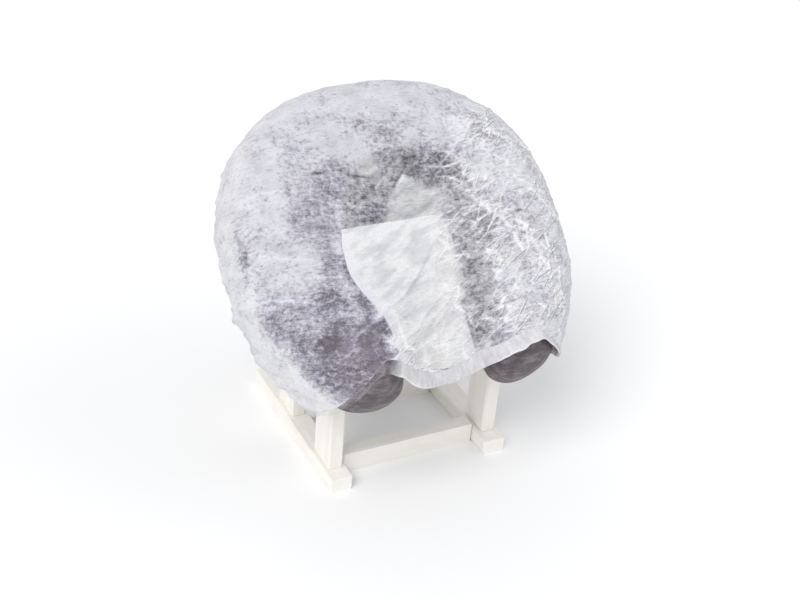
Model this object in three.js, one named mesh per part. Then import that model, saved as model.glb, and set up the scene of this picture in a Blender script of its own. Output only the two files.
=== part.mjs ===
// A disposable, elasticated nonwoven cover, pulled over a horseshoe headrest cushion on a low wooden stand.
// Millimetres, +Z up. The viewer stands at -Y, and +X is to the viewer's right.
// The headrest is modelled flat, with +Y towards its closed end and +Z out of its front, then tilted back.
import * as THREE from "three";

// Cushion
const CUSHION_HALF_WIDTH = 145;
const CUSHION_HALF_LENGTH = 141;
const CUSHION_THICKNESS = 72;
const CUSHION_SIDE_HEIGHT = 26; // where the side is widest, above the flat back
const HOLE_HALF_WIDTH = 59;
const HOLE_HALF_LENGTH = 56;
const LEFT_LOBE_END = 162.5; // degrees from the closed end to a lobe's tip
const RIGHT_LOBE_END = 165;
const LOBE_ROUNDING = 20; // degrees over which a lobe rounds off
const CROWN_EXPONENT = 2.3; // 2 is an ellipse, more is squarer
const BACK_EXPONENT = 5;
const CREST_SHIFT = 0.3; // how far the crest leans towards the hole, as a share of half the section's width

// Cover
const FABRIC_THICKNESS = 1;
const FABRIC_CLEARANCE = 1.6;
const COVER_SLACK = 20; // the furthest that the fabric stands off the cushion's side
const HOLE_SAG = 8;
const GAP_DIP = 18; // between the two lobes
const BACK_DROP = 3.4; // from the cushion's back to the fabric behind it
const BACK_WRAP = 27; // from the cushion's edge to the opening's edge, behind it
const PLEATS = 27;
const PLEAT_HEIGHT = 3.2;
const FOLD_HEIGHT = 3.4;
const FOLD_HALF_WIDTH = 13;

// Elastic hem
const HEM_WIDTH = 12;
const HEM_THICKNESS = 3.4;
const HEM_GAP = 0.6;

// Support plate
const PLATE_THICKNESS = 9;
const PLATE_ARM_WIDTH = 25;
const PLATE_HOLE_MARGIN = 6; // from the cushion's hole to an arm
const PLATE_HEM_MARGIN = 4;
const PLATE_END_MARGIN = 6; // past the front posts
const PLATE_BRIDGE_EDGE = 23; // the opening's straight top edge, above the cushion's centre
const PLATE_CORNER = 14;
const PLATE_TURN = 130; // degrees from the closed end to where the arms run straight

// Stand
const HEADREST_SLOPE = 40; // degrees from level
const HEADREST_HEIGHT = 188; // the cushion's centre above the surface that the stand rests on
const POST_THICKNESS = 14;
const POST_DEPTH = 32;
const FRONT_POST_REACH = 60; // in front of the cushion's centre
const REAR_POST_REACH = 24; // behind it
const RUNNER_WIDTH = 22;
const RUNNER_HEIGHT = 15;
const RUNNER_FRONT_OVERHANG = 14; // past the front posts
const RUNNER_REAR_OVERHANG = 52; // past the rear posts
const RAIL_HEIGHT = 20;
const RAIL_THICKNESS = 14;
const EDGE_BEVEL = 1.5;
const SEAT_GAP = 0.3; // between pieces that touch

// How finely the soft forms are faceted
const COVER_STEPS_ROUND = 4 * PLEATS;
const COVER_STEPS_OUT = 16;
const COVER_STEPS_ACROSS_FRONT = 6;
const HEM_SIDES = 6;
const CUSHION_STEPS_ALONG = 32;
const CUSHION_STEPS_AT_TIP = 5;
const CUSHION_STEPS_ROUND = 16;
const PLATE_STEPS = 24;
const PLATE_CORNER_STEPS = 6;

// The cushion's outline, by degrees from its closed end. outer is a share of the cushion's half sizes, and
// innerLeft and innerRight are shares of the hole's, to the viewer's left and right of the middle.
const CUSHION_OUTLINE = [
  { at: 0, outer: 0.95, innerLeft: 0.86, innerRight: 0.86 },
  { at: 20, outer: 0.97, innerLeft: 0.89, innerRight: 0.88 },
  { at: 40, outer: 1.0, innerLeft: 0.93, innerRight: 0.89 },
  { at: 60, outer: 1.015, innerLeft: 0.98, innerRight: 0.88 },
  { at: 90, outer: 1.0, innerLeft: 1.05, innerRight: 0.87 },
  { at: 105, outer: 1.03, innerLeft: 1.17, innerRight: 0.92 },
  { at: 120, outer: 1.08, innerLeft: 1.33, innerRight: 0.97 },
  { at: 135, outer: 1.13, innerLeft: 1.46, innerRight: 1.08 },
  { at: 148, outer: 1.2, innerLeft: 1.62, innerRight: 1.36 },
  { at: 158, outer: 1.21, innerLeft: 1.86, innerRight: 1.72 },
  { at: 166, outer: 1.18, innerLeft: 2.06, innerRight: 2.0 },
  { at: 180, outer: 1.15, innerLeft: 2.1, innerRight: 2.1 },
];

// The cover, by degrees from the closed end, the viewer's left side negative. slack is a share of
// COVER_SLACK, dip of GAP_DIP, and pleat of PLEAT_HEIGHT. reach is how far round the cushion the fabric goes:
// 0.65 ends at the cushion's side, and 1 ends behind it.
const COVER_SECTIONS = [
  { at: -180, slack: 0.0, reach: 0.295, dip: 1.0, pleat: 0.5 },
  { at: -172, slack: 0.0, reach: 0.305, dip: 1.0, pleat: 0.4 },
  { at: -164, slack: 0.0, reach: 0.32, dip: 0.75, pleat: 0.2 },
  { at: -157, slack: 0.0, reach: 0.325, dip: 0.35, pleat: 0.2 },
  { at: -151, slack: 0.1, reach: 0.355, dip: 0.08, pleat: 0.3 },
  { at: -146, slack: 0.25, reach: 0.5, dip: 0.0, pleat: 0.4 },
  { at: -141, slack: 0.5, reach: 0.66, dip: 0.0, pleat: 0.6 },
  { at: -130, slack: 0.65, reach: 0.86, dip: 0.0, pleat: 1.0 },
  { at: -108, slack: 0.65, reach: 1.0, dip: 0.0, pleat: 1.0 },
  { at: -75, slack: 0.5, reach: 1.0, dip: 0.0, pleat: 0.8 },
  { at: -40, slack: 0.4, reach: 1.0, dip: 0.0, pleat: 1.0 },
  { at: 0, slack: 0.1, reach: 1.0, dip: 0.0, pleat: 1.0 },
  { at: 40, slack: 0.1, reach: 1.0, dip: 0.0, pleat: 0.9 },
  { at: 90, slack: 0.0, reach: 1.0, dip: 0.0, pleat: 0.8 },
  { at: 115, slack: 0.0, reach: 0.97, dip: 0.0, pleat: 0.7 },
  { at: 135, slack: 0.05, reach: 0.78, dip: 0.0, pleat: 0.6 },
  { at: 143, slack: 0.05, reach: 0.6, dip: 0.0, pleat: 0.4 },
  { at: 150, slack: 0.0, reach: 0.385, dip: 0.06, pleat: 0.2 },
  { at: 157, slack: 0.0, reach: 0.335, dip: 0.35, pleat: 0.2 },
  { at: 165, slack: 0.0, reach: 0.295, dip: 0.8, pleat: 0.2 },
  { at: 172, slack: 0.0, reach: 0.288, dip: 1.0, pleat: 0.35 },
  { at: 180, slack: 0.0, reach: 0.295, dip: 1.0, pleat: 0.5 },
];

// Where the shares of reach fall on the way from the middle of the front to the opening behind.
const FRONT_SHARE = 0.25;
const CREST_SHARE = 0.3;
const SIDE_SHARE = 0.65;
const GATHER_SHARE = 0.42; // where the pleats begin

// The steps over which the fabric's slopes are measured: a share of its reach, and degrees round it.
const SLOPE_STEP = 0.004;
const SLOPE_TURN = 0.5;

// The cover's main folds across its front: ridges from one end to the other, as shares of the cushion's half
// sizes, and how high each one is, as a share of FOLD_HEIGHT.
const FOLDS = [
  { fromX: -0.6, fromY: -0.72, toX: 0.14, toY: -0.12, height: 0.95 },
  { fromX: -0.42, fromY: -0.86, toX: 0.24, toY: -0.4, height: 1.0 },
  { fromX: -0.2, fromY: -0.94, toX: 0.36, toY: -0.62, height: 0.8 },
  { fromX: 0.1, fromY: -0.3, toX: 0.5, toY: 0.1, height: 0.75 },
  { fromX: 0.3, fromY: -0.74, toX: 0.64, toY: -0.36, height: 0.7 },
  { fromX: 0.42, fromY: -0.24, toX: 0.78, toY: 0.12, height: 0.7 },
  { fromX: 0.3, fromY: 0.3, toX: 0.64, toY: 0.64, height: 0.7 },
  { fromX: -0.86, fromY: -0.44, toX: -0.4, toY: -0.56, height: 0.8 },
];

// A smooth function of the angle through one column of a table, with no overshoot between its rows.
function column(rows, name) {
  const last = rows.length - 1;
  const slope = (i) => (rows[i + 1][name] - rows[i][name]) / (rows[i + 1].at - rows[i].at);
  const tangents = rows.map((row, i) => {
    if (i === 0 || i === last) return 0;
    const before = slope(i - 1);
    const after = slope(i);
    return before * after > 0 ? (2 * before * after) / (before + after) : 0;
  });
  return (angle) => {
    const clamped = THREE.MathUtils.clamp(angle, rows[0].at, rows[last].at);
    const i = Math.min(rows.findLastIndex((row) => row.at <= clamped), last - 1);
    const span = rows[i + 1].at - rows[i].at;
    const t = (clamped - rows[i].at) / span;
    const rise = rows[i + 1][name] - rows[i][name];
    const cubic = tangents[i] + tangents[i + 1] - (2 * rise) / span;
    const square = (3 * rise) / span - 2 * tangents[i] - tangents[i + 1];
    return rows[i][name] + span * t * (tangents[i] + t * (square + t * cubic));
  };
}

const outlineOuter = column(CUSHION_OUTLINE, "outer");
const outlineInnerLeft = column(CUSHION_OUTLINE, "innerLeft");
const outlineInnerRight = column(CUSHION_OUTLINE, "innerRight");
const slackAt = column(COVER_SECTIONS, "slack");
const reachAt = column(COVER_SECTIONS, "reach");
const dipAt = column(COVER_SECTIONS, "dip");
const pleatAt = column(COVER_SECTIONS, "pleat");

const radians = THREE.MathUtils.degToRad;

// A point in the headrest's plane, by degrees from the closed end and by two radii.
function polar(angle, radiusX, radiusY) {
  return new THREE.Vector2(radiusX * Math.sin(radians(angle)), radiusY * Math.cos(radians(angle)));
}

function outerEdge(angle) {
  const share = outlineOuter(Math.abs(angle));
  return polar(angle, share * CUSHION_HALF_WIDTH, share * CUSHION_HALF_LENGTH);
}

function innerEdge(angle) {
  const share = angle < 0 ? outlineInnerLeft(-angle) : outlineInnerRight(angle);
  return polar(angle, share * HOLE_HALF_WIDTH, share * HOLE_HALF_LENGTH);
}

function sectionMiddle(angle) {
  return innerEdge(angle).add(outerEdge(angle)).multiplyScalar(0.5);
}

// The highest line of the cushion's front, which leans from the section's middle towards the hole.
function crest(angle) {
  return sectionMiddle(angle).lerp(innerEdge(angle), CREST_SHIFT);
}

// One axis of a superellipse: its cosine or sine, raised to keep its sign.
function rounded(value, exponent) {
  return Math.sign(value) * Math.abs(value) ** (2 / exponent);
}

// A closed mesh from a list of triangles over a list of Vector3.
function meshGeometry(points, triangles) {
  const geometry = new THREE.BufferGeometry().setFromPoints(points);
  geometry.setIndex(triangles.flat());
  geometry.computeVertexNormals();
  return geometry;
}

// Two triangles for each step between row a and row b of equal length, each closed on itself.
function strip(a, b, count) {
  const triangles = [];
  for (let i = 0; i < count; i++) {
    const next = (i + 1) % count;
    triangles.push([a + i, b + i, b + next], [a + i, b + next, a + next]);
  }
  return triangles;
}

// A fan from a row that is closed on itself to one point.
function fan(row, tip, count) {
  return Array.from({ length: count }, (_, i) => [row + i, tip, row + ((i + 1) % count)]);
}

// The same triangles, facing the other way.
function reversed(triangles) {
  return triangles.map(([a, b, c]) => [a, c, b]);
}

// Where the cushion's sections stand, from one lobe's tip to the other's, and how far each has rounded off.
function cushionSections() {
  const leftStraight = LEFT_LOBE_END - LOBE_ROUNDING;
  const rightStraight = RIGHT_LOBE_END - LOBE_ROUNDING;
  const body = Array.from({ length: CUSHION_STEPS_ALONG + 1 }, (_, i) => ({
    angle: THREE.MathUtils.lerp(-leftStraight, rightStraight, i / CUSHION_STEPS_ALONG),
    scale: 1,
  }));
  const tip = Array.from({ length: CUSHION_STEPS_AT_TIP }, (_, i) => {
    const turn = (Math.PI / 2) * ((i + 1) / (CUSHION_STEPS_AT_TIP + 1));
    return { beyond: LOBE_ROUNDING * Math.cos(turn), scale: Math.sin(turn) };
  });
  const left = tip.map(({ beyond, scale }) => ({ angle: -leftStraight - beyond, scale }));
  const right = tip.map(({ beyond, scale }) => ({ angle: rightStraight + beyond, scale }));
  return [...left, ...body, ...right.reverse()];
}

// The cushion: each section is a crowned superellipse with a flat back, its crest leaning towards the hole.
function cushionGeometry() {
  const points = [];
  const triangles = [];
  const sections = cushionSections();
  for (const { angle, scale } of sections) {
    const middle = sectionMiddle(angle);
    const half = outerEdge(angle).sub(middle);
    for (let j = 0; j < CUSHION_STEPS_ROUND; j++) {
      const beta = (2 * Math.PI * j) / CUSHION_STEPS_ROUND;
      const front = Math.sin(beta) > 0;
      const exponent = front ? CROWN_EXPONENT : BACK_EXPONENT;
      const height = front ? CUSHION_THICKNESS - CUSHION_SIDE_HEIGHT : CUSHION_SIDE_HEIGHT;
      const lean = front ? CREST_SHIFT * Math.sin(beta) ** 2 : 0;
      const flat = middle.clone().addScaledVector(half, (rounded(Math.cos(beta), exponent) - lean) * scale);
      const up = rounded(Math.sin(beta), exponent) * height * scale;
      points.push(new THREE.Vector3(flat.x, flat.y, CUSHION_SIDE_HEIGHT + up));
    }
  }
  const lastRow = (sections.length - 1) * CUSHION_STEPS_ROUND;
  for (let row = 0; row < lastRow; row += CUSHION_STEPS_ROUND) {
    triangles.push(...strip(row + CUSHION_STEPS_ROUND, row, CUSHION_STEPS_ROUND));
  }
  for (const angle of [-LEFT_LOBE_END, RIGHT_LOBE_END]) {
    const tip = sectionMiddle(angle);
    points.push(new THREE.Vector3(tip.x, tip.y, CUSHION_SIDE_HEIGHT));
    const cap = fan(angle < 0 ? 0 : lastRow, points.length - 1, CUSHION_STEPS_ROUND);
    triangles.push(...(angle < 0 ? cap : reversed(cap)));
  }
  return meshGeometry(points, triangles);
}

// How high the ridges of the main folds stand at a point of the front.
function foldHeight(point) {
  let height = 0;
  for (const fold of FOLDS) {
    const from = new THREE.Vector2(fold.fromX * CUSHION_HALF_WIDTH, fold.fromY * CUSHION_HALF_LENGTH);
    const along = new THREE.Vector2(fold.toX * CUSHION_HALF_WIDTH, fold.toY * CUSHION_HALF_LENGTH).sub(from);
    const offset = point.clone().sub(from);
    const share = offset.dot(along) / along.lengthSq();
    const aside = Math.abs(offset.cross(along)) / along.length();
    const taper = Math.sin(Math.PI * THREE.MathUtils.clamp(share, 0, 1));
    height += fold.height * taper * Math.exp(-((aside / FOLD_HALF_WIDTH) ** 2));
  }
  return FOLD_HEIGHT * height;
}

// How far the fabric is pushed out in pleats: nothing on the front, and most at the elastic.
function pleatHeight(angle, share) {
  const gather = THREE.MathUtils.smoothstep(share, GATHER_SHARE, 1);
  const wave = 0.5 + 0.5 * Math.cos(radians(angle) * PLEATS);
  return PLEAT_HEIGHT * pleatAt(angle) * gather * wave;
}

// The fabric's inner side, at an angle and at a share of the way from the middle of the front to the opening.
function innerFabric(angle, share) {
  const top = CUSHION_THICKNESS + FABRIC_CLEARANCE;
  const middle = crest(angle);
  const edge = outerEdge(angle);
  const outward = edge.clone().normalize();
  const slack = COVER_SLACK * slackAt(angle);
  if (share <= CREST_SHARE) {
    const q = share / CREST_SHARE;
    const sag = HOLE_SAG * (1 - q * q) ** 2 + GAP_DIP * dipAt(angle) * q * q;
    const flat = middle.multiplyScalar(q);
    return new THREE.Vector3(flat.x, flat.y, top - sag);
  }
  const rim = edge.clone().addScaledVector(outward, FABRIC_CLEARANCE + slack);
  if (share <= SIDE_SHARE) {
    const beta = (Math.PI / 2) * ((SIDE_SHARE - share) / (SIDE_SHARE - CREST_SHARE));
    const flat = middle.lerp(rim, rounded(Math.cos(beta), CROWN_EXPONENT));
    const crown = top - CUSHION_SIDE_HEIGHT - GAP_DIP * dipAt(angle);
    const rise = crown * rounded(Math.sin(beta), CROWN_EXPONENT);
    return new THREE.Vector3(flat.x, flat.y, CUSHION_SIDE_HEIGHT + rise);
  }
  const beta = (Math.PI / 2) * ((share - SIDE_SHARE) / (1 - SIDE_SHARE));
  const hem = edge.clone().addScaledVector(outward, -BACK_WRAP);
  const flat = hem.lerp(rim, rounded(Math.cos(beta), BACK_EXPONENT));
  const fall = (CUSHION_SIDE_HEIGHT + BACK_DROP) * rounded(Math.sin(beta), BACK_EXPONENT);
  return new THREE.Vector3(flat.x, flat.y, CUSHION_SIDE_HEIGHT - fall);
}

// The fabric's outward normal, from its slopes along and round the cover.
function fabricNormal(angle, share) {
  const along = innerFabric(angle, share + SLOPE_STEP).sub(innerFabric(angle, share - SLOPE_STEP));
  const round = innerFabric(angle + SLOPE_TURN, share).sub(innerFabric(angle - SLOPE_TURN, share));
  return along.cross(round).normalize().negate();
}

// A point of the fabric with its folds and pleats, raised over the inner side by a height.
function fabricPoint(angle, share, height) {
  const point = innerFabric(angle, share);
  const normal = fabricNormal(angle, share);
  const fade = 1 - THREE.MathUtils.smoothstep(share, CREST_SHARE, SIDE_SHARE);
  const fold = foldHeight(new THREE.Vector2(point.x, point.y)) * fade;
  return point.addScaledVector(normal, height + fold + pleatHeight(angle, share));
}

function coverAngle(step) {
  return (360 * step) / COVER_STEPS_ROUND - 180;
}

// The share at a row of the cover's mesh. The rows of the front are the same all round, and the rest share
// what is left up to the opening's edge.
function coverShare(angle, row) {
  if (row <= COVER_STEPS_ACROSS_FRONT) return (FRONT_SHARE * row) / COVER_STEPS_ACROSS_FRONT;
  const beyond = (row - COVER_STEPS_ACROSS_FRONT) / (COVER_STEPS_OUT - COVER_STEPS_ACROSS_FRONT);
  return THREE.MathUtils.lerp(FRONT_SHARE, reachAt(angle), beyond);
}

// The cover's shell: an outer and an inner layer from the middle of the front to the opening's edge.
function coverGeometry() {
  const points = [];
  const triangles = [];
  const layer = (height, turned) => {
    const start = points.length;
    points.push(new THREE.Vector3(0, 0, innerFabric(0, 0).z + foldHeight(new THREE.Vector2()) + height));
    for (let i = 1; i <= COVER_STEPS_OUT; i++) {
      for (let j = 0; j < COVER_STEPS_ROUND; j++) {
        const angle = coverAngle(j);
        points.push(fabricPoint(angle, coverShare(angle, i), height));
      }
    }
    const made = fan(start + 1, start, COVER_STEPS_ROUND);
    for (let i = 0; i + 1 < COVER_STEPS_OUT; i++) {
      const row = start + 1 + i * COVER_STEPS_ROUND;
      made.push(...strip(row + COVER_STEPS_ROUND, row, COVER_STEPS_ROUND));
    }
    triangles.push(...(turned ? reversed(made) : made));
    return start + 1 + (COVER_STEPS_OUT - 1) * COVER_STEPS_ROUND;
  };
  const outerEdgeRow = layer(FABRIC_THICKNESS, false);
  const innerEdgeRow = layer(0, true);
  triangles.push(...strip(innerEdgeRow, outerEdgeRow, COVER_STEPS_ROUND));
  return meshGeometry(points, triangles);
}

// The elastic hem: a flat gathered ring that carries on from the cover's edge.
function hemGeometry() {
  const points = [];
  for (let j = 0; j < COVER_STEPS_ROUND; j++) {
    const angle = coverAngle(j);
    const reach = reachAt(angle);
    const edge = fabricPoint(angle, reach, FABRIC_THICKNESS / 2);
    const before = fabricPoint(angle, reach - 5 * SLOPE_STEP, FABRIC_THICKNESS / 2);
    const onward = edge.clone().sub(before).normalize();
    const normal = fabricNormal(angle, reach);
    const middle = edge.clone().addScaledVector(onward, HEM_GAP + HEM_WIDTH / 2);
    for (let i = 0; i < HEM_SIDES; i++) {
      const beta = (2 * Math.PI * i) / HEM_SIDES;
      points.push(
        middle
          .clone()
          .addScaledVector(onward, (HEM_WIDTH / 2) * Math.cos(beta))
          .addScaledVector(normal, (HEM_THICKNESS / 2) * Math.sin(beta)),
      );
    }
  }
  const triangles = [];
  for (let j = 0; j < COVER_STEPS_ROUND; j++) {
    const next = (j + 1) % COVER_STEPS_ROUND;
    triangles.push(...strip(next * HEM_SIDES, j * HEM_SIDES, HEM_SIDES));
  }
  return meshGeometry(points, triangles);
}

const slope = radians(HEADREST_SLOPE);

// The height of the plate's underside over the resting surface, at a distance behind the cushion's centre.
function plateUnderside(y) {
  const below = (PLATE_THICKNESS + SEAT_GAP) / Math.cos(slope);
  return HEADREST_HEIGHT + y * Math.tan(slope) - below;
}

// The same distance, measured along the plate's underside.
function alongPlate(y) {
  return (y - (PLATE_THICKNESS + SEAT_GAP) * Math.sin(slope)) / Math.cos(slope);
}

// Where the plate's arms end, in front of the cushion's centre.
function plateFrontEnd() {
  return alongPlate(-FRONT_POST_REACH - POST_DEPTH / 2) - PLATE_END_MARGIN;
}

const plateSlotHalf = HOLE_HALF_WIDTH + PLATE_HOLE_MARGIN;

// The support plate: a board inside the elastic's ring, cut out under the cushion's hole, with two arms.
function plateGeometry() {
  const inset = BACK_WRAP + HEM_GAP + HEM_WIDTH + PLATE_HEM_MARGIN;
  const widest = plateSlotHalf + PLATE_ARM_WIDTH;
  const outline = Array.from({ length: PLATE_STEPS + 1 }, (_, i) => {
    const angle = PLATE_TURN * ((2 * i) / PLATE_STEPS - 1);
    const point = outerEdge(angle);
    point.setLength(point.length() - inset);
    point.x = THREE.MathUtils.clamp(point.x, -widest, widest);
    return point;
  });
  const end = plateFrontEnd();
  const armSide = outline[PLATE_STEPS].x;
  const shape = new THREE.Shape();
  shape.moveTo(-plateSlotHalf, end);
  shape.lineTo(-armSide, end);
  outline.forEach((point) => shape.lineTo(point.x, point.y));
  shape.lineTo(armSide, end);
  shape.lineTo(plateSlotHalf, end);
  const cornerX = plateSlotHalf - PLATE_CORNER;
  const cornerY = PLATE_BRIDGE_EDGE - PLATE_CORNER;
  shape.lineTo(plateSlotHalf, cornerY);
  shape.absarc(cornerX, cornerY, PLATE_CORNER, 0, Math.PI / 2);
  shape.absarc(-cornerX, cornerY, PLATE_CORNER, Math.PI / 2, Math.PI);
  shape.closePath();
  return new THREE.ExtrudeGeometry(shape, {
    depth: PLATE_THICKNESS,
    bevelEnabled: false,
    curveSegments: PLATE_CORNER_STEPS,
  });
}

// A board with bevelled long edges, along X, with its outline given in Y and Z.
function boardGeometry(outline, length) {
  const geometry = new THREE.ExtrudeGeometry(new THREE.Shape(outline), {
    depth: length - 2 * EDGE_BEVEL,
    bevelThickness: EDGE_BEVEL,
    bevelSize: EDGE_BEVEL,
    bevelOffset: -EDGE_BEVEL,
    bevelSegments: 1,
  });
  geometry.translate(0, 0, EDGE_BEVEL - length / 2);
  // The outline's own axes become Y and Z, and the length lies along X.
  geometry.applyMatrix4(new THREE.Matrix4().set(0, 0, 1, 0, 1, 0, 0, 0, 0, 1, 0, 0, 0, 0, 0, 1));
  return geometry;
}

function rectangle(fromY, toY, fromZ, toZ) {
  return [
    new THREE.Vector2(fromY, fromZ),
    new THREE.Vector2(toY, fromZ),
    new THREE.Vector2(toY, toZ),
    new THREE.Vector2(fromY, toZ),
  ];
}

// A post from a runner up to the plate, its top cut to the plate's slope.
function postGeometry(reach) {
  const gap = SEAT_GAP / Math.cos(slope);
  const fromY = reach - POST_DEPTH / 2;
  const toY = reach + POST_DEPTH / 2;
  const foot = RUNNER_HEIGHT + SEAT_GAP;
  const outline = [
    new THREE.Vector2(fromY, foot),
    new THREE.Vector2(toY, foot),
    new THREE.Vector2(toY, plateUnderside(toY) - gap),
    new THREE.Vector2(fromY, plateUnderside(fromY) - gap),
  ];
  return boardGeometry(outline, POST_THICKNESS);
}

function runnerGeometry() {
  const fromY = -FRONT_POST_REACH - POST_DEPTH / 2 - RUNNER_FRONT_OVERHANG;
  const toY = REAR_POST_REACH + POST_DEPTH / 2 + RUNNER_REAR_OVERHANG;
  return boardGeometry(rectangle(fromY, toY, 0, RUNNER_HEIGHT), RUNNER_WIDTH);
}

// The posts stand under the middles of the plate's arms.
const postOffset = plateSlotHalf + PLATE_ARM_WIDTH / 2;

// A rail between the two sides, its top a little over the runners.
function railGeometry(reach) {
  const length = 2 * postOffset - RUNNER_WIDTH - 2 * SEAT_GAP;
  const outline = rectangle(reach - RAIL_THICKNESS / 2, reach + RAIL_THICKNESS / 2, 0, RAIL_HEIGHT);
  return boardGeometry(outline, length);
}

const finishes = {
  fabric: { color: 0xe9e9ef, roughness: 0.85, metalness: 0 },
  elastic: { color: 0xe4e2e6, roughness: 0.85, metalness: 0 },
  vinyl: { color: 0x4a4450, roughness: 0.6, metalness: 0 },
  board: { color: 0xd8c9ae, roughness: 0.7, metalness: 0 },
  paintedWood: { color: 0xe8e2d4, roughness: 0.55, metalness: 0 },
};

function piece(name, geometry, finish) {
  const mesh = new THREE.Mesh(geometry, new THREE.MeshStandardMaterial(finish));
  mesh.name = name;
  return mesh;
}

function headrest() {
  const group = new THREE.Group();
  const plate = piece("support_plate", plateGeometry(), finishes.board);
  plate.position.z = -PLATE_THICKNESS - SEAT_GAP;
  group.add(
    piece("cover_shell", coverGeometry(), finishes.fabric),
    piece("elastic_hem", hemGeometry(), finishes.elastic),
    piece("cushion", cushionGeometry(), finishes.vinyl),
    plate,
  );
  group.position.z = HEADREST_HEIGHT;
  group.rotation.x = slope;
  return group;
}

function stand() {
  const group = new THREE.Group();
  for (const [side, x] of [
    ["left", -postOffset],
    ["right", postOffset],
  ]) {
    const frame = new THREE.Group();
    frame.position.x = x;
    frame.add(
      piece(`front_post_${side}`, postGeometry(-FRONT_POST_REACH), finishes.paintedWood),
      piece(`rear_post_${side}`, postGeometry(REAR_POST_REACH), finishes.paintedWood),
      piece(`runner_${side}`, runnerGeometry(), finishes.paintedWood),
    );
    group.add(frame);
  }
  group.add(
    piece("front_rail", railGeometry(-FRONT_POST_REACH), finishes.paintedWood),
    piece("rear_rail", railGeometry(REAR_POST_REACH), finishes.paintedWood),
  );
  return group;
}

// The whole, with its origin under the middle of its bounding box, on the resting surface.
function assembly() {
  const group = new THREE.Group();
  group.add(headrest(), stand());
  const box = new THREE.Box3().setFromObject(group, true);
  const centre = box.getCenter(new THREE.Vector3());
  group.position.set(-centre.x, -centre.y, -box.min.z);
  return group;
}

export default assembly();
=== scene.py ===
"""The looks of a fitted disposable headrest cover, its cushion and its stand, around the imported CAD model.

Lengths are in millimetres until a mesh is made. The headrest is worked out flat, with its own X across it,
Y towards its closed end and Z out of its front, and then tilted back as in the CAD model.
"""

import math

import bpy
import numpy as np
from mathutils import Matrix, Vector
from mathutils.bvhtree import BVHTree


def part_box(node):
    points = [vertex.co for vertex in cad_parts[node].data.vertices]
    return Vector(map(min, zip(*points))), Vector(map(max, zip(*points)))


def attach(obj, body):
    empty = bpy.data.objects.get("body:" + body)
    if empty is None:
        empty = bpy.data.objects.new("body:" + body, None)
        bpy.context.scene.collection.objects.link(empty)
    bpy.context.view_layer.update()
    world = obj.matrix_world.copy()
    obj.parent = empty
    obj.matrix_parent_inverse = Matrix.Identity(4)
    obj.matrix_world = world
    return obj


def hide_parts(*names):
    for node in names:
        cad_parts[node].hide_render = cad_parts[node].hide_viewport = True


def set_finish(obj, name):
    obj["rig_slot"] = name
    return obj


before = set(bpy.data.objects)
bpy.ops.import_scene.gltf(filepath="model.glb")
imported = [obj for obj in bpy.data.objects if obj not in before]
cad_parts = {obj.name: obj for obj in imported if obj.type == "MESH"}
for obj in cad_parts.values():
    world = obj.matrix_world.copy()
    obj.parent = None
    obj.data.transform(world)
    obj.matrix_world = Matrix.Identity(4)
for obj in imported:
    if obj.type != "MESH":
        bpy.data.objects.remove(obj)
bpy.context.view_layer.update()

MM = 0.001

# The CAD model's own sizes, which the finer pieces follow.
SLOPE = math.radians(40)
HEADREST_HEIGHT, FRONT_POST_REACH = 188, 60
HALF_WIDTH, HALF_LENGTH, THICKNESS, SIDE_HEIGHT = 145, 141, 72, 26
HOLE_HALF_WIDTH, HOLE_HALF_LENGTH = 59, 56
LEFT_LOBE_END, RIGHT_LOBE_END, LOBE_ROUNDING = 162.5, 165, 20
CROWN_EXPONENT, BACK_EXPONENT, CREST_SHIFT = 2.3, 5, 0.3
CLEARANCE, COVER_SLACK, HOLE_SAG, GAP_DIP, BACK_DROP, BACK_WRAP = 1.6, 20, 8, 18, 3.4, 27
PLEATS, PLEAT_HEIGHT, FOLD_HEIGHT, FOLD_HALF_WIDTH = 27, 3.2, 3.4, 13
HEM_WIDTH, HEM_GAP = 12, 0.6
CREST_SHARE, SIDE_SHARE, GATHER_SHARE = 0.3, 0.65, 0.42

# Degrees from the closed end, and shares of the half sizes: the outer edge, and the hole's edge to the left
# and to the right.
OUTLINE = [
    (0, 0.95, 0.86, 0.86), (20, 0.97, 0.89, 0.88), (40, 1.0, 0.93, 0.89), (60, 1.015, 0.98, 0.88),
    (90, 1.0, 1.05, 0.87), (105, 1.03, 1.17, 0.92), (120, 1.08, 1.33, 0.97), (135, 1.13, 1.46, 1.08),
    (148, 1.2, 1.62, 1.36), (158, 1.21, 1.86, 1.72), (166, 1.18, 2.06, 2.0), (180, 1.15, 2.1, 2.1),
]
# Degrees from the closed end, the left side negative, and the cover's slack, reach, dip and pleat there.
COVER = [
    (-180, 0.0, 0.295, 1.0, 0.5), (-172, 0.0, 0.305, 1.0, 0.4), (-164, 0.0, 0.32, 0.75, 0.2),
    (-157, 0.0, 0.325, 0.35, 0.2), (-151, 0.1, 0.355, 0.08, 0.3), (-146, 0.25, 0.5, 0.0, 0.4),
    (-141, 0.5, 0.66, 0.0, 0.6), (-130, 0.65, 0.86, 0.0, 1.0), (-108, 0.65, 1.0, 0.0, 1.0),
    (-75, 0.5, 1.0, 0.0, 0.8), (-40, 0.4, 1.0, 0.0, 1.0), (0, 0.1, 1.0, 0.0, 1.0), (40, 0.1, 1.0, 0.0, 0.9),
    (90, 0.0, 1.0, 0.0, 0.8), (115, 0.0, 0.97, 0.0, 0.7), (135, 0.05, 0.78, 0.0, 0.6),
    (143, 0.05, 0.6, 0.0, 0.4), (150, 0.0, 0.385, 0.06, 0.2), (157, 0.0, 0.335, 0.35, 0.2),
    (165, 0.0, 0.295, 0.8, 0.2), (172, 0.0, 0.288, 1.0, 0.35), (180, 0.0, 0.295, 1.0, 0.5),
]
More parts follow.
